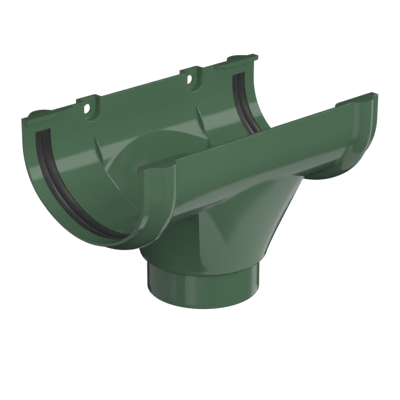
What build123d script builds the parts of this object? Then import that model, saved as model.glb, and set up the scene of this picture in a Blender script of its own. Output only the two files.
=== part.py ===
"""Running outlet for a half-round gutter: a short trough with a collar, a rubber seal and two
clips at each end, two screw pockets in the wall side, and a funnel down to the downpipe spigot.
The origin is the centre of the spigot's mouth, +Z is up, +X runs along the gutter and +Y points
to the wall that the outlet is screwed to."""
from build123d import *
from math import atan2, cos, degrees, radians, sin, sqrt
import os

# Trough, half-round: straight walls, two flank arcs and a flatter belly arc
length = 215.0
half_width = 63.3
rim_z = 135.0
sole_z = 66.3
wall = 2.3
flank_radius = 44.4
belly_radius = 75.9

# How far a cut runs past the face that it opens, and how near counts as touching
past = 1.0
touch = 0.05

# Collar round each end, where it bulges out over the seal
collar_from_end = 16.2
collar_outer_reach = 10.8
collar_inner_reach = 9.3
collar_crest_radius = 9.5
collar_crest_centre = (-0.1, -2.9)
collar_crest_turns = (45, 149)
collar_root = 1.0

# Seal groove and rubber seal
seal_width = 13.0
seal_top_drop = 11.7
groove_peak = (-0.4, 6.5)
groove_inner_depth = 4.6
groove_outer_depth = 4.2
seal_lobe_drop = 0.2
seal_edge_drop = 1.1
seal_channel_drop = 2.0

# Clips that hook over the gutter's edges
clip_reach = 6.6
clip_run = 35.0
clip_tail = 7.0
clip_tail_bend = (2.2, 2.2)
ledge_thickness = 2.0
lip_thickness = 2.0
lip_height = 3.5
lip_low_height = 2.5
lip_full_run = 25.5
lip_step = 1.0
lip_corner = 1.5

# Screw pockets in the wall side
pocket_spacing = 95.6
pocket_drop = 8.6
pocket_half_width = 9.0
pocket_wall = 2.0
pocket_reach = 6.3
pocket_floor = 2.2
pocket_back_ease = 1.1
pocket_mouth_ease = 1.0
screw_hole = 7.0

# Stop ribs beside the opening
rib_x = 47.8
rib_thickness = 2.0
rib_turns = (-41.8, -11.4)
rib_slope = 2.0
rib_rise = 1.3
rib_root = 1.0

# Funnel, from a circle over the spigot to a bowed square that the trough cuts
funnel_low_radius = 45.4
funnel_high_z = 100.0
funnel_corner = 54.2
funnel_front = 59.5
funnel_end = 55.6
funnel_wall = 2.2

# Spigot that the downpipe slides on to
spigot_radius = 40.0
spigot_height = 26.3
spigot_wall = 2.4
spigot_chamfer = 0.8
shoulder_round = 4.1

# Centres of the arcs, and the angle at which a flank arc runs into the belly arc
belly_z = sole_z + belly_radius
flank_y = half_width - flank_radius
flank_z = belly_z - sqrt((belly_radius - flank_radius) ** 2 - flank_y ** 2)
flank_turn = degrees(atan2(belly_z - flank_z, flank_y))
wall_inside = half_width - wall
collar_x = length / 2 - collar_from_end
seal_top_z = rim_z - seal_top_drop
pocket_z = rim_z - pocket_drop
pocket_back_y = half_width + pocket_reach
clip_z = rim_z - ledge_thickness
clip_end = length / 2
lip_y = half_width - clip_reach
funnel_low_z = spigot_height + shoulder_round
shoulder_flat = funnel_low_radius - shoulder_round


def trough_curve(inset, top):
    """Half-round profile from one rim to the other, moved inwards by the inset."""
    side = half_width - inset
    Line((side, top), (side, flank_z))
    CenterArc((flank_y, flank_z), flank_radius - inset, 0, -flank_turn)
    CenterArc((0, belly_z), belly_radius - inset, -flank_turn, 2 * flank_turn - 180)
    CenterArc((-flank_y, flank_z), flank_radius - inset, flank_turn - 180, -flank_turn)
    Line((-side, flank_z), (-side, top))


def trough_outline(inset, top):
    """The same profile closed straight across the top."""
    side = half_width - inset
    trough_curve(inset, top)
    Line((-side, top), (side, top))


def round_points(centre, radius, turns, steps):
    """Points evenly spaced round an arc, which is then made of flats, between two angles."""
    first, last = turns
    angles = [radians(first + (last - first) * step / steps) for step in range(steps + 1)]
    return [(centre[0] + radius * cos(angle), centre[1] + radius * sin(angle)) for angle in angles]


def collar_outline(side):
    """Section of the collar in plan: a round crest, steep to the middle and gentle to the end."""
    crest = round_points(collar_crest_centre, collar_crest_radius, collar_crest_turns, 4)
    section = [
        (-collar_inner_reach, 0),
        (-collar_inner_reach, -collar_root),
        (collar_outer_reach, -collar_root),
        (collar_outer_reach, 0),
        *crest,
    ]
    Polyline(*[(side * (collar_x + x), half_width + out) for x, out in section], close=True)


def groove_walls(side, edge_y):
    """The groove's section in plan, with a roof that follows the collar at an even wall."""
    inner = collar_x - seal_width / 2
    outer = collar_x + seal_width / 2
    Polyline(
        (side * inner, edge_y),
        (side * inner, wall_inside + groove_inner_depth),
        (side * (collar_x + groove_peak[0]), wall_inside + groove_peak[1]),
        (side * outer, wall_inside + groove_outer_depth),
        (side * outer, edge_y),
    )


def funnel_sections(inset):
    """Circle under, bowed square over, both split at the corners so that the edges line up."""
    radius = funnel_low_radius - inset
    corner = funnel_corner - inset
    front = funnel_front - inset
    end = funnel_end - inset
    with BuildSketch(Plane.XY.offset(funnel_low_z)) as low:
        with BuildLine():
            for side in range(4):
                CenterArc((0, 0), radius, 90 * side - 45, 90)
        make_face()
    with BuildSketch(Plane.XY.offset(funnel_high_z)) as high:
        with BuildLine():
            ThreePointArc((corner, -corner), (end, 0), (corner, corner))
            ThreePointArc((corner, corner), (0, front), (-corner, corner))
            ThreePointArc((-corner, corner), (-end, 0), (-corner, -corner))
            ThreePointArc((-corner, -corner), (0, -front), (corner, -corner))
        make_face()
    return [low.sketch, high.sketch]


def pocket_outline(radius, top):
    """Screw pocket seen from the trough: half a circle under a straight-sided opening."""
    Line((radius, top), (radius, pocket_z))
    CenterArc((0, pocket_z), radius, 0, -180)
    Line((-radius, pocket_z), (-radius, top))
    Line((-radius, top), (radius, top))


# Path round the profile at each end, for what follows the half-round
with BuildLine(Plane.YZ) as rim_path:
    trough_curve(0, rim_z)

with BuildLine(Plane.YZ) as seal_path:
    trough_curve(0, seal_top_z)

# Funnel and spigot, outside
with BuildPart() as funnel:
    loft(funnel_sections(0), ruled=True)
    with BuildSketch(Plane.XZ) as spigot_outside:
        with BuildLine():
            Polyline(
                (0, funnel_low_z),
                (0, 0),
                (spigot_radius - spigot_chamfer, 0),
                (spigot_radius, spigot_chamfer),
                (spigot_radius, spigot_height),
                *round_points((shoulder_flat, funnel_low_z), shoulder_round, (-90, 0), 3),
                close=True,
            )
        make_face()
    revolve(axis=Axis.Z)

# Funnel and spigot, hollow
with BuildPart() as funnel_hollow:
    loft(funnel_sections(funnel_wall), ruled=True)
    with BuildSketch(Plane.XZ) as spigot_inside:
        with BuildLine():
            bore = spigot_radius - spigot_wall
            step_z = spigot_height + funnel_wall
            mouth = funnel_low_radius - funnel_wall
            Polyline(
                (0, funnel_low_z),
                (0, 0),
                (bore, 0),
                (bore, spigot_height),
                (bore + funnel_wall, step_z),
                (mouth, funnel_low_z),
                close=True,
            )
        make_face()
    revolve(axis=Axis.Z)

# Screw pocket, outside, with its back edge eased
with BuildPart() as pocket:
    with BuildSketch(Plane.XZ.offset(-pocket_back_y)):
        with BuildLine():
            pocket_outline(pocket_half_width, rim_z)
        make_face()
    extrude(amount=pocket_back_y - wall_inside - wall / 2)
    back_edges = pocket.faces().sort_by(Axis.Y)[-1].edges().filter_by(
        lambda edge: edge.center().Z < rim_z - touch
    )
    chamfer(back_edges, pocket_back_ease)

# Screw pocket, hollow, open at the top and towards the trough
with BuildPart() as pocket_hollow:
    with BuildSketch(Plane.XZ.offset(pocket_floor - pocket_back_y)):
        with BuildLine():
            pocket_outline(pocket_half_width - pocket_wall, rim_z + past)
        make_face()
    extrude(amount=pocket_back_y - pocket_floor - wall_inside + 3 * past)

# One clip: ledge, hooked lip and the gap for the gutter's edge
with BuildPart() as clip:
    with BuildSketch(Plane.XY.offset(clip_z)):
        with BuildLine():
            tail = clip_end - clip_run - clip_tail
            sunk = wall_inside + wall / 2
            Line((clip_end, sunk), (clip_end, lip_y))
            Line((clip_end, lip_y), (clip_end - clip_run, lip_y))
            ThreePointArc(
                (clip_end - clip_run, lip_y),
                (tail + clip_tail_bend[0], lip_y + clip_tail_bend[1]),
                (tail, wall_inside),
            )
            Polyline((tail, wall_inside), (tail, sunk), (clip_end, sunk))
        make_face()
    extrude(amount=ledge_thickness)
    with BuildSketch(Plane.XZ.offset(-lip_y)):
        with BuildLine():
            step_x = clip_end - lip_full_run
            start_x = clip_end - clip_run
            Polyline(
                (clip_end, rim_z - lip_height + lip_corner),
                (clip_end, clip_z + ledge_thickness / 4),
                (start_x, clip_z + ledge_thickness / 4),
                (start_x, rim_z - lip_low_height),
                (step_x - lip_step, rim_z - lip_low_height),
                (step_x, rim_z - lip_height),
                (clip_end - lip_corner, rim_z - lip_height),
            )
            RadiusArc(
                (clip_end - lip_corner, rim_z - lip_height),
                (clip_end, rim_z - lip_height + lip_corner),
                -lip_corner,
            )
        make_face()
    extrude(amount=-lip_thickness)

# The moulded body
with BuildPart() as outlet_body:
    with BuildSketch(Plane.YZ.offset(-length / 2)):
        with BuildLine():
            trough_outline(0, rim_z)
        make_face()
    extrude(amount=length)
    for side in (-1, 1):
        with BuildSketch(Plane.XY.offset(rim_z)) as collar:
            with BuildLine():
                collar_outline(side)
            make_face()
        sweep(sections=collar.sketch, path=rim_path.wire())
    add(funnel.part)
    for x in (-pocket_spacing / 2, pocket_spacing / 2):
        with Locations((x, 0, 0)):
            add(pocket.part)

    # Hollow of the trough, the funnel and the spigot
    with BuildSketch(Plane.YZ.offset(-length / 2)):
        with BuildLine():
            trough_outline(wall, rim_z + past)
        make_face()
    extrude(amount=length, mode=Mode.SUBTRACT)
    add(funnel_hollow.part, mode=Mode.SUBTRACT)

    # Stop ribs on the flanks, each with a straight free edge that slopes off at both ends
    with BuildSketch(Plane.YZ.offset(rib_x - rib_thickness / 2)) as rib:
        with BuildLine():
            foot, top = rib_turns
            centre = (flank_y, flank_z)
            inside = flank_radius - wall
            root = round_points(centre, inside + rib_root, rib_turns, 1)
            edge = round_points(centre, inside - rib_rise, (foot + rib_slope, top - rib_slope), 1)
            CenterArc(centre, inside + rib_root, foot, top - foot)
            Polyline(root[1], edge[1], edge[0], root[0])
        make_face()
        mirror(about=Plane.YZ)
    extrude(amount=rib_thickness)
    mirror(about=Plane.YZ)

    # Pocket hollows and screw holes
    for x in (-pocket_spacing / 2, pocket_spacing / 2):
        with Locations((x, 0, 0)):
            add(pocket_hollow.part, mode=Mode.SUBTRACT)
    mouth_edges = outlet_body.edges().filter_by(
        lambda edge: abs(edge.center().Y - wall_inside) < touch
        and abs(abs(edge.center().X) - pocket_spacing / 2) < pocket_half_width
        and pocket_z - pocket_half_width < edge.center().Z < rim_z - touch
    )
    chamfer(mouth_edges, pocket_mouth_ease)
    with Locations(Plane.XZ.offset(-pocket_back_y)):
        with Locations((-pocket_spacing / 2, pocket_z), (pocket_spacing / 2, pocket_z)):
            Hole(screw_hole / 2, depth=2 * pocket_floor)

    # Seal grooves
    for side in (-1, 1):
        with BuildSketch(Plane.XY.offset(seal_top_z)) as groove:
            with BuildLine():
                open_y = wall_inside - past
                half_seal = seal_width / 2
                groove_walls(side, open_y)
                Line((side * (collar_x + half_seal), open_y), (side * (collar_x - half_seal), open_y))
            make_face()
        sweep(sections=groove.sketch, path=seal_path.wire(), mode=Mode.SUBTRACT)

    # Clips at the four corners
    add(clip.part)
    add(clip.part.mirror(Plane.XZ))
    add(clip.part.mirror(Plane.YZ))
    add(clip.part.mirror(Plane.XZ).mirror(Plane.YZ))

outlet_body.part.label = "outlet_body"


def seal_outline(side):
    """Section of the seal: a back that fills the groove, and two lobes with a channel between."""
    inner = collar_x - seal_width / 2
    outer = collar_x + seal_width / 2
    crown = wall_inside + seal_lobe_drop
    shore = wall_inside + seal_edge_drop
    channel = wall_inside + seal_channel_drop
    groove_walls(side, shore)
    Polyline(
        (side * outer, shore),
        (side * (collar_x + seal_width / 4), crown),
        (side * collar_x, channel),
        (side * (collar_x - seal_width / 4), crown),
        (side * inner, shore),
    )


# Rubber seals
with BuildPart() as seal_left:
    with BuildSketch(Plane.XY.offset(seal_top_z)) as left_section:
        with BuildLine():
            seal_outline(-1)
        make_face()
    sweep(sections=left_section.sketch, path=seal_path.wire())

with BuildPart() as seal_right:
    with BuildSketch(Plane.XY.offset(seal_top_z)) as right_section:
        with BuildLine():
            seal_outline(1)
        make_face()
    sweep(sections=right_section.sketch, path=seal_path.wire())

seal_left.part.label = "seal_left"
seal_right.part.label = "seal_right"

os.makedirs("parts", exist_ok=True)
export_step(outlet_body.part, "parts/outlet_body.step")
export_step(seal_left.part, "parts/seal_left.step")
export_step(seal_right.part, "parts/seal_right.step")
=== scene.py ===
import bmesh
import bpy
import numpy as np
from mathutils import Matrix, Vector


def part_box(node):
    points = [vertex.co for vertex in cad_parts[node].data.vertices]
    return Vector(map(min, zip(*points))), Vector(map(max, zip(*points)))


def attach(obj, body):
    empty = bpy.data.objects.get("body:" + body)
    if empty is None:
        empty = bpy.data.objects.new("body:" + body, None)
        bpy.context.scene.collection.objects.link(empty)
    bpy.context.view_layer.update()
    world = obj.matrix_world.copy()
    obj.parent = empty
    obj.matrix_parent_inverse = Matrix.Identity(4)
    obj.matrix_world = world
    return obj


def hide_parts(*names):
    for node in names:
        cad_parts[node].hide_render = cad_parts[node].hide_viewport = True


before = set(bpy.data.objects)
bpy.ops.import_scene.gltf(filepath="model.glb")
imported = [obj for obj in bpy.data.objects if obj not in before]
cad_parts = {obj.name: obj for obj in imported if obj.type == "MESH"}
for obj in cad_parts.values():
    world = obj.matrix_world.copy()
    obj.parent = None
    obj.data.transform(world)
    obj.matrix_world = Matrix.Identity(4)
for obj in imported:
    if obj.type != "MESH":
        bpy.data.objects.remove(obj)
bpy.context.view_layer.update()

# Trough, funnel and spigot
# The outlet is one injection moulding in green PVC: a short half-round trough that bulges into a
# collar near each end, an opening in its floor, and a funnel that narrows to the downpipe spigot.
# Everything in this section is in millimetres, from the centre of the spigot's mouth.
body_high = 1000 * np.array(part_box("outlet_body")[1])
half_length = body_high[0]
rim_z = body_high[2]
half_width = 63.3
wall = 2.3
sole_z = 66.3
flank_radius = 44.4
belly_radius = 75.9
belly_z = sole_z + belly_radius
flank_y = half_width - flank_radius
flank_z = belly_z - np.sqrt((belly_radius - flank_radius) ** 2 - flank_y ** 2)
belly_turn = np.degrees(np.arctan2(flank_y, belly_z - flank_z))
wall_rise = rim_z - flank_z
edge_ease = 0.45


def trough_point(turn, rise, out):
    """Half-round section as y and z. The outward normal leans `turn` degrees from straight down:
    point = centre + (radius + out) * normal, with the belly's centre and radius below belly_turn
    and the flank's beyond it. `rise` lifts the point up the straight wall, `out` moves it outwards."""
    lean = np.radians(turn)
    belly = np.abs(turn) < belly_turn
    radius = np.where(belly, belly_radius, flank_radius) + out
    centre_y = np.where(belly, 0, np.sign(turn) * flank_y)
    centre_z = np.where(belly, belly_z, flank_z)
    return centre_y + radius * np.sin(lean), centre_z - radius * np.cos(lean) + rise


def trough_depth(y, z):
    """Inverse of trough_point: how far (y, z) lies outside the half-round's outer face, and its turn."""
    turn = np.degrees(np.arctan2(y, belly_z - z))
    flank_lean = np.degrees(np.arctan2(np.abs(y) - flank_y, flank_z - z)) * np.sign(y)
    belly = np.abs(turn) < belly_turn
    out = np.where(
        belly,
        np.hypot(y, belly_z - z) - belly_radius,
        np.hypot(np.abs(y) - flank_y, flank_z - z) - flank_radius,
    )
    return out, np.where(belly, turn, flank_lean)


def eased(gap, radius):
    """Fall of a rounded edge at a gap from its end: radius - sqrt(radius^2 - (radius - gap)^2)."""
    short = np.clip(radius - gap, 0, radius)
    return radius - np.sqrt(radius ** 2 - short ** 2)


def edge_stations(radius, steps):
    """Gaps from an edge that turn its round in even angles: radius * (1 - sin(angle))."""
    return radius * (1 - np.sin(np.radians(np.linspace(90, 0, steps + 1))))


# Round the half-round: down the front wall, under the belly and up the back wall
opening_turn = 80.0
turn_cells = 64
groove_top_z = 123.3
groove_rise = groove_top_z - flank_z
rim_flat = 1.5
wall_gaps = np.concatenate([
    edge_stations(edge_ease, 5),
    np.linspace(rim_flat, wall_rise - groove_rise, 8),
    np.linspace(wall_rise - groove_rise, wall_rise, 5),
])
wall_turns = np.linspace(90, opening_turn, 5)[1:-1]
wall_grooved = np.arange(len(wall_gaps)) >= len(wall_gaps) - 5
path_turn = np.concatenate([
    np.full(len(wall_gaps), -90.0), -wall_turns,
    np.linspace(-opening_turn, opening_turn, turn_cells + 1),
    wall_turns[::-1], np.full(len(wall_gaps), 90.0),
])
path_gap = np.concatenate([
    wall_gaps, np.full(2 * len(wall_turns) + turn_cells + 1, wall_rise), wall_gaps[::-1],
])
path_rise = wall_rise - path_gap
path_groove = np.concatenate([
    wall_grooved, np.ones(2 * len(wall_turns) + turn_cells + 1, bool), wall_grooved[::-1],
])

# Along the gutter: the collar's crest is an arc between two straight slopes
collar_x = 91.3
collar_end = 102.1
collar_start = 82.0
crest_x = 91.2
crest_drop = -2.99
crest_radius = 9.5
crest_angles = np.radians(np.linspace(149, 45, 22))
opening_x = 60.0
opening_cells = 48
seal_half = 6.5
# The groove is deepest near its middle, under the collar's crest
groove_x = np.array([-seal_half, -3.45, -0.4, 3.05, seal_half])
groove_depth = np.array([4.6, 5.55, 6.5, 5.35, 4.2])
end_flat = 1
end_gaps = edge_stations(edge_ease, 5)
outer_half = np.concatenate([
    np.linspace(opening_x, collar_start, 10)[1:],
    crest_x + crest_radius * np.cos(crest_angles),
    np.linspace(collar_end, half_length - end_flat, 4),
    half_length - end_gaps[::-1],
])
outer_bulge = np.concatenate([
    np.zeros(9),
    crest_drop + crest_radius * np.sin(crest_angles),
    np.zeros(4 + len(end_gaps)),
])
inner_half = np.concatenate([
    np.linspace(opening_x, collar_x - seal_half, 11)[1:],
    collar_x + groove_x,
    np.linspace(collar_x + seal_half, half_length - end_flat, 6),
    half_length - end_gaps[::-1],
])
inner_groove = np.concatenate([np.zeros(10), groove_depth, np.zeros(6 + len(end_gaps))])
middle = np.linspace(-opening_x, opening_x, opening_cells + 1)


def both_ends(half, values, middle_value=0.0):
    """Mirror the stations of one half, and their values, about the middle of the trough."""
    x = np.concatenate([-half[::-1], middle, half])
    return x, np.concatenate([values[::-1], np.full(len(middle), middle_value), values])


outer_x, outer_lift = both_ends(outer_half, outer_bulge)
inner_x, inner_cut = both_ends(inner_half, inner_groove)


def sheet(x, out, turn, rise):
    """Grid of the half-round: every station along x against every station round the section."""
    y, z = trough_point(turn[None, :], rise[None, :], out)
    return np.stack([np.broadcast_to(x[:, None], y.shape), y, z], axis=-1)


def border_fall(x, gap):
    """How much the rounded end edge and the rounded rim edge take off, added up."""
    return eased(half_length - np.abs(x), edge_ease)[:, None] + eased(gap, edge_ease)[None, :]


outer_out = outer_lift[:, None] - border_fall(outer_x, path_gap)
outer_sheet = sheet(outer_x, outer_out, path_turn, path_rise)
inner_out = -wall + border_fall(inner_x, path_gap) + inner_cut[:, None] * path_groove[None, :]
inner_sheet = sheet(inner_x, inner_out, path_turn, path_rise)

# The funnel is ruled from a circle over the spigot to a bowed square in the trough
spigot_radius = 40.0
spigot_height = 26.3
spigot_wall = 2.4
spigot_ease = 0.8
shoulder_round = 4.1
funnel_wall = 2.2
funnel_low_radius = 45.4
funnel_low_z = spigot_height + shoulder_round
funnel_high_z = 100.0
funnel_corner = 54.2
funnel_front = 59.5
funnel_end = 55.6
side_cells = (turn_cells, opening_cells, turn_cells, opening_cells)
ring_side = np.concatenate([np.full(cells, side) for side, cells in enumerate(side_cells)])
ring_share = np.concatenate([np.arange(cells) / cells for cells in side_cells])
ring_angle = np.radians(-45 + 90 * (ring_side + ring_share))


def bowed_square(inset):
    """Points of the square whose sides are arcs: each arc runs through two corners and a bowed
    middle, so its radius is (c^2 + (m - c)^2) / (2 (m - c)), and the share turns it evenly."""
    corner = funnel_corner - inset
    middle_out = np.where(ring_side % 2 == 0, funnel_end, funnel_front) - inset
    bow = middle_out - corner
    radius = (corner ** 2 + bow ** 2) / (2 * bow)
    swing = np.arcsin(corner / radius) * (2 * ring_share - 1)
    along = middle_out - radius + radius * np.cos(swing)
    across = radius * np.sin(swing)
    turn = np.pi / 2 * ring_side
    return np.stack([
        along * np.cos(turn) - across * np.sin(turn),
        along * np.sin(turn) + across * np.cos(turn),
    ], axis=-1)


def funnel_point(inset, height):
    """Ruled funnel: (1 - t) * circle + t * bowed square, with t from 0 to 1 up the funnel."""
    share = ((height - funnel_low_z) / (funnel_high_z - funnel_low_z))[..., None]
    circle = (funnel_low_radius - inset) * np.stack([np.cos(ring_angle), np.sin(ring_angle)], axis=-1)
    plan = (1 - share) * circle + share * bowed_square(inset)
    return np.concatenate([plan, np.broadcast_to(height[..., None], plan.shape[:-1] + (1,))], axis=-1)


def crease_height(inset, out, below_sole=3, halvings=50):
    """Height on each ruling where it meets the half-round, by halving the span fifty times."""
    low = np.full(len(ring_angle), sole_z - below_sole)
    high = np.full(len(ring_angle), rim_z)
    for _ in range(halvings):
        mid = (low + high) / 2
        point = funnel_point(inset, mid)
        outside = trough_depth(point[:, 1], point[:, 2])[0] > out
        low, high = np.where(outside, mid, low), np.where(outside, high, mid)
    return (low + high) / 2


def opening_border():
    """Rectangle of the sheet's cells round the opening, as x and turn, matched to the rulings."""
    x = np.choose(ring_side, [
        np.full(len(ring_side), opening_x), opening_x * (1 - 2 * ring_share),
        np.full(len(ring_side), -opening_x), opening_x * (2 * ring_share - 1),
    ])
    turn = np.choose(ring_side, [
        opening_turn * (2 * ring_share - 1), np.full(len(ring_side), opening_turn),
        opening_turn * (1 - 2 * ring_share), np.full(len(ring_side), -opening_turn),
    ])
    return x, turn


def apron(crease, out, start, rows=25, crowding=1.3):
    """Sheet between the crease and the rectangle: x and turn blended from one to the other by
    share ^ crowding, which crowds the rows at the crease."""
    border_x, border_turn = opening_border()
    turn = trough_depth(crease[:, 1], crease[:, 2])[1]
    share = np.linspace(0, 1, rows)[:, None] ** crowding
    share = start[None, :] + (1 - start[None, :]) * share
    x = crease[None, :, 0] + share * (border_x - crease[:, 0])[None, :]
    y, z = trough_point(turn[None, :] + share * (border_turn - turn)[None, :], 0, out)
    return np.stack([x, y, z], axis=-1)


def rings(radii, heights):
    """Turned surface: one ring of every radius and height, with the funnel's own angles."""
    radii, heights = np.asarray(radii, float), np.asarray(heights, float)
    return np.stack([
        radii[:, None] * np.cos(ring_angle)[None, :],
        radii[:, None] * np.sin(ring_angle)[None, :],
        np.broadcast_to(heights[:, None], (len(radii), len(ring_angle))),
    ], axis=-1)


def arc(radius, height, size, first, last, steps=6):
    """Radii and heights of a small round about a centre, between two angles from straight out."""
    turn = np.radians(np.linspace(first, last, steps + 1))
    return radius + size * np.cos(turn), height + size * np.sin(turn)


# The opening's lip is rounded most at its two ends, where the funnel drops away steeply
inner_crease_z = crease_height(funnel_wall, -wall)
inner_crease = funnel_point(funnel_wall, inner_crease_z)
outer_crease = funnel_point(0, crease_height(0, 0))
lip_least = 0.7
lip_more = 3.5
lip_full_x = 48
lip = lip_least + lip_more * np.clip(np.abs(inner_crease[:, 0]) / lip_full_x, 0, 1) ** 4
border_x, border_turn = opening_border()
crease_turn = trough_depth(inner_crease[:, 1], inner_crease[:, 2])[1]
lip_run = np.hypot(border_x - inner_crease[:, 0],
                   np.radians(border_turn) * flank_radius - np.radians(crease_turn) * flank_radius)
inner_apron = apron(inner_crease, -wall, lip / lip_run)
lip_low = funnel_point(funnel_wall, inner_crease_z - lip)
bend = np.linspace(0, 1, 9)[:, None, None]
lip_rows = (1 - bend) ** 2 * inner_apron[0] + 2 * bend * (1 - bend) * inner_crease + bend ** 2 * lip_low
fall = np.linspace(1, 0, 25)[:, None]
inside_height = (inner_crease_z - lip - funnel_low_z)[None, :]
outside_height = (outer_crease[:, 2] - funnel_low_z)[None, :]
funnel_inside = funnel_point(funnel_wall, funnel_low_z + fall * inside_height)
funnel_outside = funnel_point(0, funnel_low_z + fall[::-1] * outside_height)

bore = spigot_radius - spigot_wall
mouth_ease = 0.4
spigot_middle = 10.0
mouth_r, mouth_z = arc(bore + mouth_ease, mouth_ease, mouth_ease, 180, 270)
foot_r, foot_z = arc(spigot_radius - spigot_ease, spigot_ease, spigot_ease, -90, 0)
step_r, step_z = arc(funnel_low_radius - shoulder_round, funnel_low_z, shoulder_round, -90, 0, 12)
throat_z = spigot_height + funnel_wall
spigot_rows = rings(
    np.concatenate([[funnel_low_radius - funnel_wall, bore + funnel_wall, bore, bore],
                    mouth_r, foot_r, [spigot_radius, spigot_radius], step_r]),
    np.concatenate([[funnel_low_z, throat_z, spigot_height, spigot_middle],
                    mouth_z, foot_z, [spigot_middle, spigot_height], step_z]),
)
outer_apron = apron(outer_crease, 0, np.zeros(len(ring_angle)))


def grid_faces(rows, columns, first, ring=False):
    """Quads of a grid whose points are numbered row by row from `first`; a ring closes on itself."""
    last = columns if ring else columns - 1
    row, column = np.meshgrid(np.arange(rows - 1), np.arange(last), indexing="ij")
    after = (column + 1) % columns
    here, below = row * columns, (row + 1) * columns
    corners = [here + column, here + after, below + after, below + column]
    return first + np.stack(corners, axis=-1).reshape(-1, 4)


weld_distance = 2e-6
speck_distance = 1e-7


def surface_mesh(name, patches, polygons=()):
    """One welded mesh in metres from patches (grid, ring, kept cells) and single flat outlines."""
    points, faces = [], []
    first = 0
    for grid, ring, keep in patches:
        quads = grid_faces(grid.shape[0], grid.shape[1], first, ring)
        points.append(grid.reshape(-1, 3))
        faces += (quads if keep is None else quads[keep.ravel()]).tolist()
        first += grid.shape[0] * grid.shape[1]
    for outline in polygons:
        points.append(outline)
        faces.append(list(range(first, first + len(outline))))
        first += len(outline)
    mesh = bpy.data.meshes.new(name)
    mesh.from_pydata((0.001 * np.concatenate(points)).tolist(), [], faces)
    work = bmesh.new()
    work.from_mesh(mesh)
    bmesh.ops.remove_doubles(work, verts=work.verts, dist=weld_distance)
    bmesh.ops.dissolve_degenerate(work, edges=work.edges, dist=speck_distance)
    bmesh.ops.recalc_face_normals(work, faces=work.faces)
    work.to_mesh(mesh)
    work.free()
    mesh.shade_smooth()
    return mesh


def outside_opening(x, turn):
    """Cells of a sheet that lie outside the rectangle round the opening."""
    inside_x = np.abs((x[1:] + x[:-1]) / 2) < opening_x
    inside_turn = np.abs((turn[1:] + turn[:-1]) / 2) < opening_turn
    return ~(inside_x[:, None] & inside_turn[None, :])


def end_strip(side):
    """Flat end of the gutter's wall, between the outer and the inner sheet's last station."""
    return np.stack([outer_sheet[side], inner_sheet[side]])


def rim_outline(column):
    """Flat top of one wall: along the outer sheet's edge and back along the inner one's."""
    return np.concatenate([outer_sheet[:, column], inner_sheet[::-1, column]])


shell = surface_mesh("outlet_shell", [
    (outer_sheet, False, outside_opening(outer_x, path_turn)),
    (inner_sheet, False, outside_opening(inner_x, path_turn)),
    (end_strip(0), False, None),
    (end_strip(-1), False, None),
    (inner_apron, True, None),
    (lip_rows, True, None),
    (funnel_inside, True, None),
    (spigot_rows, True, None),
    (funnel_outside, True, None),
    (outer_apron, True, None),
], [rim_outline(0), rim_outline(-1)])

body = bpy.data.objects.new("outlet_moulding", shell)
bpy.context.collection.objects.link(body)


def merge(tool, operation):
    """Add a closed solid to the moulding, or cut it out, and keep only the result."""
    piece = bpy.data.objects.new(tool.name, tool)
    bpy.context.collection.objects.link(piece)
    cut = body.modifiers.new("join", "BOOLEAN")
    cut.operation = operation
    cut.solver = "MANIFOLD"
    cut.object = piece
    graph = bpy.context.evaluated_depsgraph_get()
    result = bpy.data.meshes.new_from_object(body.evaluated_get(graph))
    body.modifiers.clear()
    body.data = result
    bpy.data.objects.remove(piece)


def stack(name, outlines):
    """Closed solid through a stack of outlines with the same count of points, capped at both ends."""
    outlines = np.asarray(outlines)
    return surface_mesh(name, [(outlines, True, None)], [outlines[0], outlines[-1]])


# Screw pockets
# Two pockets stand out behind the wall side so that a screw's head sits flush. They are moulded with
# the trough: a half-round tub open at the top, with a plain round screw hole in its back.
pocket_x = 47.8
pocket_z = 126.4
pocket_radius = 9.0
pocket_hollow = 7.0
pocket_back = 69.6
pocket_floor = 67.4
pocket_back_round = 1.6
pocket_mouth_round = 1.3
pocket_floor_ease = 0.5
pocket_floor_bend = 0.15
screw_radius = 3.5
screw_ease = 0.4
screw_past = 0.6
hole_from_y = 62.0
cut_past_mouth = 2
cut_past_rim = 1


def tub(x, radius, y, top):
    """Half circle under straight sides, in a plane facing the wall, for each radius and y."""
    angle = np.radians(np.linspace(180, 360, 33))
    px = np.concatenate([[-radius], radius * np.cos(angle), [radius]])
    pz = np.concatenate([[top], pocket_z + radius * np.sin(angle), [top]])
    return np.stack([x + px, np.full(len(px), y), pz], axis=-1)


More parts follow.
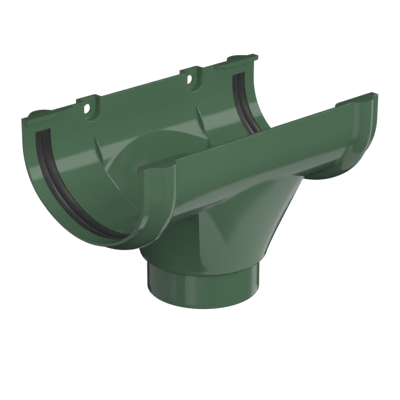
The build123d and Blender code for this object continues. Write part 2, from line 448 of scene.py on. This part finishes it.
round_turn = np.radians(np.linspace(0, 90, 8))
mouth_turn = np.radians(np.linspace(84, 0, 9))
for x in (-pocket_x, pocket_x):
    boss = [(pocket_radius, half_width - wall / 2)] + list(zip(
        pocket_radius - pocket_back_round * (1 - np.cos(round_turn)),
        pocket_back - pocket_back_round * (1 - np.sin(round_turn)),
    ))
    merge(stack("boss", [tub(x, radius, y, rim_z) for radius, y in boss]), "UNION")
for x in (-pocket_x, pocket_x):
    mouth_y = half_width - wall
    hollow = [(pocket_hollow + pocket_mouth_round, mouth_y - cut_past_mouth)] + list(zip(
        pocket_hollow + pocket_mouth_round * (1 - np.cos(mouth_turn)),
        mouth_y + pocket_mouth_round * (1 - np.sin(mouth_turn)),
    )) + [
        (pocket_hollow, pocket_floor - pocket_floor_ease),
        (pocket_hollow - pocket_floor_bend, pocket_floor - pocket_floor_bend),
        (pocket_hollow - pocket_floor_ease, pocket_floor),
    ]
    merge(stack("pocket", [tub(x, radius, y, rim_z + cut_past_rim) for radius, y in hollow]), "DIFFERENCE")
    circle = np.radians(np.linspace(0, 360, 49)[:-1])
    hole = [
        (screw_radius, hole_from_y), (screw_radius, pocket_back - screw_ease),
        (screw_radius + screw_ease, pocket_back),
        (screw_radius + screw_ease + screw_past, pocket_back + screw_past),
    ]
    merge(stack("screw_hole", [np.stack([
        x + radius * np.cos(circle), np.full(len(circle), y), pocket_z + radius * np.sin(circle)], axis=-1)
        for radius, y in hole]), "DIFFERENCE")

# Clips
# Each corner has a ledge over the rim with a lip that hooks behind the gutter's edge. They are
# moulded with the trough, and the two of one side face the two of the other.
clip_reach = 6.6
clip_run = 35.0
clip_tail = 7.0
ledge_thickness = 2.0
lip_thickness = 2.0
lip_height = 3.5
lip_low_height = 2.5
lip_full_run = 25.5
lip_step = 1.0
lip_corner = 1.5
lip_corner_bend = 0.44
hook_sunk = 1.5
tail_bend = 2.2
lip_y = half_width - clip_reach
lip_start = half_length - clip_run
tail_x = lip_start - clip_tail
sunk_y = half_width - wall / 2


def through_three(first, middle_point, last, steps=12):
    """Arc through three points, from the circle's centre and the two end angles."""
    (ax, ay), (bx, by), (cx, cy) = first, middle_point, last
    d = 2 * (ax * (by - cy) + bx * (cy - ay) + cx * (ay - by))
    ux = ((ax**2 + ay**2) * (by - cy) + (bx**2 + by**2) * (cy - ay) + (cx**2 + cy**2) * (ay - by)) / d
    uy = ((ax**2 + ay**2) * (cx - bx) + (bx**2 + by**2) * (ax - cx) + (cx**2 + cy**2) * (bx - ax)) / d
    start, end = np.arctan2(ay - uy, ax - ux), np.arctan2(cy - uy, cx - ux)
    sweep = (end - start + np.pi) % (2 * np.pi) - np.pi
    angle = start + sweep * np.linspace(0, 1, steps + 1)
    radius = np.hypot(ax - ux, ay - uy)
    return np.stack([ux + radius * np.cos(angle), uy + radius * np.sin(angle)], axis=-1)


def mirrored(points, flip_x, flip_y):
    """Same points in another corner of the outlet."""
    return points * np.array([flip_x, flip_y, 1])


ledge_plan = np.concatenate([
    [(half_length, sunk_y), (half_length, lip_y)],
    through_three((lip_start, lip_y), (tail_x + tail_bend, lip_y + tail_bend), (tail_x, half_width - wall)),
    [(tail_x, sunk_y)],
])
lip_face = np.concatenate([
    [(half_length, rim_z - hook_sunk), (lip_start, rim_z - hook_sunk), (lip_start, rim_z - lip_low_height),
     (half_length - lip_full_run - lip_step, rim_z - lip_low_height),
     (half_length - lip_full_run, rim_z - lip_height)],
    through_three((half_length - lip_corner, rim_z - lip_height),
                  (half_length - lip_corner_bend, rim_z - lip_height + lip_corner_bend),
                  (half_length, rim_z - lip_height + lip_corner), 6),
])
for flip_x in (-1, 1):
    for flip_y in (-1, 1):
        ledge = [np.column_stack([ledge_plan, np.full(len(ledge_plan), z)])
                 for z in (rim_z - ledge_thickness, rim_z)]
        merge(stack("ledge", [mirrored(level, flip_x, flip_y) for level in ledge]), "UNION")
        hook = [np.column_stack([lip_face[:, 0], np.full(len(lip_face), y), lip_face[:, 1]])
                for y in (lip_y, lip_y + lip_thickness)]
        merge(stack("hook", [mirrored(level, flip_x, flip_y) for level in hook]), "UNION")

# Stop ribs
# A thin rib either side of the opening, on both flanks, stops the gutter that is pushed in. It is
# moulded with the trough: thinner at its free edge than at its root, and it fades out at both ends.
rib_x = 47.8
rib_turns = (-42.6, -10.6)
rib_height = 3.0
rib_sunk = 0.3
rib_root = 1.1
rib_crest = 0.45
rib_crest_ease = 0.15
rib_crest_flat = 0.6
rib_fade = 0.8
rib_inside = flank_radius - wall
rib_levels = []
for share in np.linspace(0, 1, 25):
    angle = np.radians(rib_turns[0] + (rib_turns[1] - rib_turns[0]) * share)
    crest = rib_inside + rib_sunk - (rib_height + rib_sunk) * np.sin(np.pi * share) ** rib_fade
    root, shoulder, flat = rib_inside + wall / 2, crest + rib_crest_ease, rib_crest * rib_crest_flat
    reach = np.array([root, root, shoulder, crest, crest, shoulder])
    across = np.array([-rib_root, rib_root, rib_crest, flat, -flat, -rib_crest])
    rib_levels.append(np.column_stack([
        rib_x + across, flank_y + reach * np.cos(angle), flank_z + reach * np.sin(angle)]))
for flip_x in (-1, 1):
    for flip_y in (-1, 1):
        merge(stack("rib", [mirrored(level, flip_x, flip_y) for level in rib_levels]), "UNION")

# The joins leave a few slivers: two faces back to back on the same three corners, which go in pairs
seam_distance = 5e-7
seam = bmesh.new()
seam.from_mesh(body.data)
bmesh.ops.remove_doubles(seam, verts=seam.verts, dist=seam_distance)
bmesh.ops.dissolve_degenerate(seam, edges=seam.edges, dist=seam_distance)
bmesh.ops.triangulate(seam, faces=[face for face in seam.faces if len(face.verts) > 4])
by_corners = {}
for face in seam.faces:
    by_corners.setdefault(frozenset(corner.index for corner in face.verts), []).append(face)
slivers = [face for pair in by_corners.values() if len(pair) == 2 for face in pair]
bmesh.ops.delete(seam, geom=slivers, context="FACES_ONLY")
seam.to_mesh(body.data)
seam.free()

# Green PVC
# The moulding comes out of a polished tool, so it is smooth and glossy. The green is mixed through the
# plastic, with faint cloudy flow marks, a slightly uneven gloss and a very fine grain.
pvc = bpy.data.materials.new("green_pvc")
pvc.use_nodes = True
nodes, links = pvc.node_tree.nodes, pvc.node_tree.links
shader = nodes["Principled BSDF"]
place = nodes.new("ShaderNodeTexCoord")
cloud = nodes.new("ShaderNodeTexNoise")
cloud.inputs["Scale"].default_value = 14
cloud.inputs["Detail"].default_value = 3
links.new(place.outputs["Object"], cloud.inputs["Vector"])
tint = nodes.new("ShaderNodeValToRGB")
tint.color_ramp.elements[0].position = 0.3
tint.color_ramp.elements[0].color = (0.070, 0.137, 0.080, 1)
tint.color_ramp.elements[1].position = 0.7
tint.color_ramp.elements[1].color = (0.078, 0.150, 0.088, 1)
links.new(cloud.outputs["Fac"], tint.inputs["Fac"])
links.new(tint.outputs["Color"], shader.inputs["Base Color"])
haze = nodes.new("ShaderNodeTexNoise")
haze.inputs["Scale"].default_value = 60
haze.inputs["Detail"].default_value = 4
links.new(place.outputs["Object"], haze.inputs["Vector"])
gloss = nodes.new("ShaderNodeMapRange")
gloss.inputs["To Min"].default_value = 0.09
gloss.inputs["To Max"].default_value = 0.13
links.new(haze.outputs["Fac"], gloss.inputs["Value"])
links.new(gloss.outputs["Result"], shader.inputs["Roughness"])
grain = nodes.new("ShaderNodeTexNoise")
grain.inputs["Scale"].default_value = 900
grain.inputs["Detail"].default_value = 2
links.new(place.outputs["Object"], grain.inputs["Vector"])
bump = nodes.new("ShaderNodeBump")
bump.inputs["Strength"].default_value = 0.02
bump.inputs["Distance"].default_value = 0.0001
links.new(grain.outputs["Fac"], bump.inputs["Height"])
links.new(bump.outputs["Normal"], shader.inputs["Normal"])
shader.inputs["IOR"].default_value = 1.5
body.data.materials.clear()
body.data.materials.append(pvc)
body.data.shade_smooth()
body.data.set_sharp_from_angle(angle=np.radians(22))
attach(body, "root")
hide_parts("outlet_body")

# Rubber seals
# A black rubber strip is pressed into the groove of each collar and holds by its own spring. It is
# extruded with two round lobes and a channel between them, and cut off square at both ends.
seal_clearance = 0.05
lobe_edge_drop = 0.95
lobe_crown_drop = 0.25
channel_drop = 2.2
lobe_flatness = 0.6
lobe_angle = np.radians(np.linspace(180, 0, 13))
lobe_half = seal_half / 2
lobe_x = lobe_half * np.cos(lobe_angle)
lobe_round = np.sin(lobe_angle) ** lobe_flatness


def lobe_drop(left_drop, right_drop):
    """Depth across one lobe under the trough's wall: level of the edges, less a flattened round."""
    edge = left_drop + (right_drop - left_drop) * (lobe_x / lobe_half + 1) / 2
    return edge - (edge - lobe_crown_drop) * lobe_round


back = seal_half - seal_clearance
front_x = np.concatenate([lobe_x - lobe_half, lobe_x[1:] + lobe_half]) * back / seal_half
front_drop = np.concatenate([
    lobe_drop(lobe_edge_drop, channel_drop), lobe_drop(channel_drop, lobe_edge_drop)[1:],
])
section_x = np.concatenate([front_x, [back, groove_x[2], -back]])
section_out = np.concatenate([front_drop - wall, groove_depth[[4, 2, 0]] - wall - seal_clearance])
seal_turn = path_turn[path_groove]
seal_rise = path_rise[path_groove]
seal_rise[[0, -1]] -= seal_clearance
for side, name in ((-1, "seal_left"), (1, "seal_right")):
    y, z = trough_point(seal_turn[:, None], seal_rise[:, None], section_out[None, :])
    x = np.broadcast_to(side * (collar_x + section_x)[None, :], y.shape)
    tube = np.stack([x, y, z], axis=-1)
    strip = bpy.data.objects.new(name + "_strip", stack(name + "_strip", tube))
    bpy.context.collection.objects.link(strip)
    rubber = bpy.data.materials.new("seal_rubber")
    strip.data.materials.append(rubber)
    strip.data.shade_smooth()
    strip.data.set_sharp_from_angle(angle=np.radians(50))
    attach(strip, "root")
    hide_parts(name)
    rubber.use_nodes = True
    nodes, links = rubber.node_tree.nodes, rubber.node_tree.links
    shader = nodes["Principled BSDF"]
    place = nodes.new("ShaderNodeTexCoord")
    bloom = nodes.new("ShaderNodeTexNoise")
    bloom.inputs["Scale"].default_value = 90
    bloom.inputs["Detail"].default_value = 5
    links.new(place.outputs["Object"], bloom.inputs["Vector"])
    black = nodes.new("ShaderNodeValToRGB")
    black.color_ramp.elements[0].position = 0.35
    black.color_ramp.elements[0].color = (0.026, 0.025, 0.026, 1)
    black.color_ramp.elements[1].position = 0.75
    black.color_ramp.elements[1].color = (0.035, 0.034, 0.036, 1)
    links.new(bloom.outputs["Fac"], black.inputs["Fac"])
    links.new(black.outputs["Color"], shader.inputs["Base Color"])
    skin = nodes.new("ShaderNodeTexNoise")
    skin.inputs["Scale"].default_value = 1500
    skin.inputs["Detail"].default_value = 2
    links.new(place.outputs["Object"], skin.inputs["Vector"])
    bump = nodes.new("ShaderNodeBump")
    bump.inputs["Strength"].default_value = 0.15
    bump.inputs["Distance"].default_value = 0.0001
    links.new(skin.outputs["Fac"], bump.inputs["Height"])
    links.new(bump.outputs["Normal"], shader.inputs["Normal"])
    shader.inputs["Roughness"].default_value = 0.42

# Table, lamps and camera
# The outlet stands on its spigot on a table that is white to the camera, between a soft lamp at the
# left and a softbox at the right. Each has a fill behind it that throws no shadow, for the light that a
# bright room sends into the trough. For the gloss the table shows a painted reflection: a pool of light
# that glows on it though it is no lamp, with painted shade under the outlet, and dark beyond it.
bpy.ops.mesh.primitive_plane_add(size=8)
table = bpy.context.object
table.name = "table"
white = bpy.data.materials.new("white_table")
white.use_nodes = True
table.data.materials.append(white)
nodes, links = white.node_tree.nodes, white.node_tree.links
paper = nodes["Principled BSDF"]
paper.inputs["Base Color"].default_value = (0.16, 0.16, 0.16, 1)
paper.inputs["Roughness"].default_value = 0.9


def calc(operation, *terms):
    """Math node in the tree at hand, whose terms are numbers or the outputs of other nodes."""
    node = nodes.new("ShaderNodeMath")
    node.operation = operation
    for socket, term in zip(node.inputs, terms):
        if isinstance(term, (int, float)):
            socket.default_value = term
        else:
            links.new(term, socket)
    return node.outputs[0]


def curve_of(source, points, low, high):
    """Value read off straight lines between points (position, value), positions from low to high."""
    spread = nodes.new("ShaderNodeMapRange")
    spread.inputs["From Min"].default_value = low
    spread.inputs["From Max"].default_value = high
    links.new(source, spread.inputs["Value"])
    ramp = nodes.new("ShaderNodeValToRGB")
    stops = ramp.color_ramp.elements
    stops.remove(stops[1])
    for number, (position, value) in enumerate(points):
        stop = stops[0] if number == 0 else stops.new((position - low) / (high - low))
        stop.position = (position - low) / (high - low)
        stop.color = (value, value, value, 1)
    links.new(spread.outputs["Result"], ramp.inputs["Fac"])
    return ramp.outputs["Color"]


def edge_of(value, border, soft):
    """Ramp from 0 to 1 that starts where the value passes the border and is `soft` wide."""
    rise = calc("DIVIDE", calc("SUBTRACT", value, border), soft)
    return calc("MINIMUM", calc("MAXIMUM", rise, 0.0), 1.0)


# Painted reflection: a pool of light that the table gives off to glossy rays only; its front border runs
# from left to right in metres
spot = nodes.new("ShaderNodeSeparateXYZ")
ground = nodes.new("ShaderNodeTexCoord")
links.new(ground.outputs["Object"], spot.inputs[0])
reach = curve_of(spot.outputs["X"], [
    (-0.06, 0.060), (-0.05, 0.090), (-0.04, 0.104), (-0.02, 0.110), (-0.0095, 0.108), (-0.0065, 0.094),
    (-0.002, 0.0935), (0.005, 0.0985), (0.012, 0.103), (0.024, 0.110), (0.035, 0.117), (0.046, 0.122),
    (0.058, 0.1255), (0.09, 0.1275), (0.14, 0.1205), (0.18, 0.112), (0.24, 0.098),
], -0.06, 0.24)
depth = calc("MULTIPLY", spot.outputs["Y"], -1.0)
blur = curve_of(spot.outputs["X"], [
    (-0.06, 0.009), (0.02, 0.009), (0.05, 0.018), (0.24, 0.020),
], -0.06, 0.24)
front = edge_of(calc("DIVIDE", calc("SUBTRACT", reach, depth), blur), border=-0.33, soft=1.0)
# The rear border and the hole round the spigot are painted shade, where the outlet stands over the table
rear = edge_of(depth, border=0.044, soft=0.006)
across = calc("ADD", calc("POWER", spot.outputs["X"], 2.0), calc("POWER", spot.outputs["Y"], 2.0))
near = edge_of(calc("SQRT", across), border=0.050, soft=0.004)
left = edge_of(spot.outputs["X"], border=-0.056, soft=0.008)
pool = calc("MULTIPLY", calc("MULTIPLY", front, rear), calc("MULTIPLY", near, left))
strength = curve_of(spot.outputs["X"], [
    (-0.06, 0.95), (0.08, 0.95), (0.14, 0.76), (0.24, 0.72),
], -0.06, 0.24)
ray = nodes.new("ShaderNodeLightPath")
glow = nodes.new("ShaderNodeEmission")
glow.inputs["Color"].default_value = (1, 1, 1, 1)
links.new(calc("MULTIPLY", pool, strength), glow.inputs["Strength"])
pass_on = nodes.new("ShaderNodeBsdfTransparent")
seen = nodes.new("ShaderNodeMixShader")
links.new(pool, seen.inputs["Fac"])
links.new(pass_on.outputs[0], seen.inputs[1])
links.new(glow.outputs[0], seen.inputs[2])
backdrop = nodes.new("ShaderNodeEmission")
backdrop.inputs["Color"].default_value = (1, 1, 1, 1)
links.new(ray.outputs["Is Camera Ray"], backdrop.inputs["Strength"])
both = nodes.new("ShaderNodeAddShader")
links.new(paper.outputs[0], both.inputs[0])
links.new(backdrop.outputs[0], both.inputs[1])
surface = nodes.new("ShaderNodeMixShader")
links.new(ray.outputs["Is Glossy Ray"], surface.inputs["Fac"])
links.new(both.outputs[0], surface.inputs[1])
links.new(seen.outputs[0], surface.inputs[2])
links.new(surface.outputs[0], nodes["Material Output"].inputs["Surface"])

# A low round card about the spigot, which only the gloss sees, with strips of light by azimuth: a painted
# reflection on the spigot, glowing though it is no lamp, dark between the strips
card_radius = 44.5
card_heights = (0.2, 24.5)
card_sides = 96
card_turn = np.radians(np.linspace(0, 360, card_sides + 1)[:-1])
card_x, card_y = card_radius * np.cos(card_turn), card_radius * np.sin(card_turn)
card_grid = np.stack([
    np.stack([card_x, card_y, np.full(card_sides, height)], axis=-1) for height in card_heights])
card = bpy.data.objects.new("spigot_card", surface_mesh("spigot_card", [(card_grid, True, None)]))
bpy.context.collection.objects.link(card)
card.visible_camera = card.visible_diffuse = card.visible_shadow = card.visible_transmission = False
strip_light = bpy.data.materials.new("card_strips")
strip_light.use_nodes = True
card.data.materials.append(strip_light)
nodes, links = strip_light.node_tree.nodes, strip_light.node_tree.links
nodes.remove(nodes["Principled BSDF"])
spot = nodes.new("ShaderNodeSeparateXYZ")
ground = nodes.new("ShaderNodeTexCoord")
links.new(ground.outputs["Object"], spot.inputs[0])
azimuth = calc("DEGREES", calc("ARCTAN2", spot.outputs["X"], calc("MULTIPLY", spot.outputs["Y"], -1.0)))
glow = nodes.new("ShaderNodeEmission")
links.new(curve_of(azimuth, [
    (-180, 0.03), (-130, 0.03), (-125, 0.38), (-110, 0.52), (-94, 0.50), (-86, 0.40), (-80.5, 0.43),
    (-74.5, 0.60), (-73.5, 0.22), (-70, 0.18), (-63, 0.08), (-62, 0.90), (-56, 1.15), (-51.5, 1.05),
    (-50.5, 0.60), (-46, 0.45), (-43, 0.24), (-37, 0.20), (-34, 0.06), (14, 0.05), (22, 0.30), (26, 0.95),
    (36, 0.95), (44, 0.05), (180, 0.03),
], -180, 180), glow.inputs["Strength"])
links.new(glow.outputs[0], nodes["Material Output"].inputs["Surface"])

# The room: plain grey light, white behind the object, and for the gloss strips of light by azimuth
world = bpy.data.worlds.new("room")
bpy.context.scene.world = world
world.use_nodes = True
nodes, links = world.node_tree.nodes, world.node_tree.links
way = nodes.new("ShaderNodeSeparateXYZ")
sky = nodes.new("ShaderNodeTexCoord")
links.new(sky.outputs["Generated"], way.inputs[0])
azimuth = calc("DEGREES", calc("ARCTAN2", way.outputs["X"], calc("MULTIPLY", way.outputs["Y"], -1.0)))
low_strips = curve_of(azimuth, [
    (-180, 0.30), (-150, 0.45), (-135, 0.50), (-121, 0.40), (-110, 0.43), (-100, 0.58), (-97, 0.20),
    (-82, 0.08), (-79, 0.90), (-68, 1.10), (-58, 1.05), (-50, 0.50), (-44, 0.25), (-36, 0.20), (-30, 0.00),
    (176, 0.00),
], -180, 180)
side_strip = curve_of(azimuth, [(60, 0.0), (74, 0.30), (82, 0.95), (104, 0.95), (112, 0.0)], 60, 112)
grey = curve_of(azimuth, [
    (-180, 0.06), (-20, 0.09), (90, 0.08), (110, 0.03), (165, 0.03), (180, 0.06),
], -180, 180)


def height_between(bottom, top):
    """1 where the direction's height lies between the two, and 0 elsewhere."""
    height = way.outputs["Z"]
    return calc("MULTIPLY", calc("LESS_THAN", height, top), calc("GREATER_THAN", height, bottom))


low = height_between(-0.52, 0.0)
side = height_between(-0.60, 0.45)
catch_light = curve_of(azimuth, [(76, 0.0), (82, 4.5), (102, 4.5), (106, 0.0)], 76, 106)
high = height_between(0.42, 0.70)
sides = calc("ADD", calc("MULTIPLY", side_strip, side), calc("MULTIPLY", catch_light, high))
gloss_light = calc("ADD", grey, calc("ADD", calc("MULTIPLY", low_strips, low), sides))
ray = nodes.new("ShaderNodeLightPath")
room_light = 0.17
from_gloss, from_camera = ray.outputs["Is Glossy Ray"], ray.outputs["Is Camera Ray"]
unseen = calc("ADD", calc("MULTIPLY", gloss_light, from_gloss),
              calc("MULTIPLY", calc("SUBTRACT", 1.0, from_gloss), room_light))
shown = calc("ADD", calc("MULTIPLY", unseen, calc("SUBTRACT", 1.0, from_camera)), from_camera)
nodes["Background"].inputs["Color"].default_value = (1, 1, 1, 1)
links.new(shown, nodes["Background"].inputs["Strength"])


def soft_lamp(name, azimuth, elevation, distance, width, height, radiance, in_gloss=False, shadow=True):
    """Rectangular lamp that faces the outlet: power = 4 * area * radiance, angles in degrees."""
    a, e = np.radians(azimuth), np.radians(elevation)
    away = Vector((np.sin(a) * np.cos(e), -np.cos(a) * np.cos(e), np.sin(e)))
    lamp = bpy.data.lights.new(name, "AREA")
    lamp.shape = "RECTANGLE"
    lamp.size, lamp.size_y, lamp.energy = width, height, 4 * width * height * radiance
    lamp.use_shadow = shadow
    holder = bpy.data.objects.new(name, lamp)
    holder.location = away * distance + Vector((0, 0, 0.1))
    holder.rotation_euler = away.to_track_quat("Z", "Y").to_euler()
    holder.visible_camera = False
    holder.visible_glossy = in_gloss
    bpy.context.collection.objects.link(holder)


# Each lamp's azimuth, elevation, distance, width, height and radiance, in degrees and metres
soft_lamp("left_lamp", -27, 27, 1.6, 1.3, 0.9, 1.2)
soft_lamp("left_fill", -27, 25, 1.8, 1.46, 1.01, 3.6, shadow=False)
soft_lamp("right_softbox", 46, 27.7, 1.5, 0.76, 0.49, 1.65, in_gloss=True)
soft_lamp("right_fill", 46, 27.7, 1.65, 0.84, 0.54, 3.9, shadow=False)

# The camera's place in metres, its lens in millimetres, and its azimuth, elevation and roll in degrees
camera_place = (-0.697153, -0.759924, 0.497613)
camera_lens = 143.974
view_azimuth, view_elevation, view_roll = np.radians([-42.399, 22.736, 0.122])
sight = Vector((-np.sin(view_azimuth) * np.cos(view_elevation),
                np.cos(view_azimuth) * np.cos(view_elevation), -np.sin(view_elevation)))
horizon = Vector((np.cos(view_azimuth), np.sin(view_azimuth), 0))
up = horizon.cross(sight)
right = horizon * np.cos(view_roll) + up * np.sin(view_roll)
top = up * np.cos(view_roll) - horizon * np.sin(view_roll)
camera = bpy.data.objects.new("camera", bpy.data.cameras.new("camera"))
bpy.context.collection.objects.link(camera)
turn = Matrix((right, top, -sight)).transposed().to_4x4()
camera.matrix_world = Matrix.Translation(camera_place) @ turn
camera.data.lens = camera_lens
camera.data.sensor_width = 36
camera.data.clip_start = 0.05
bpy.context.scene.camera = camera
bpy.context.scene.view_settings.view_transform = "Standard"
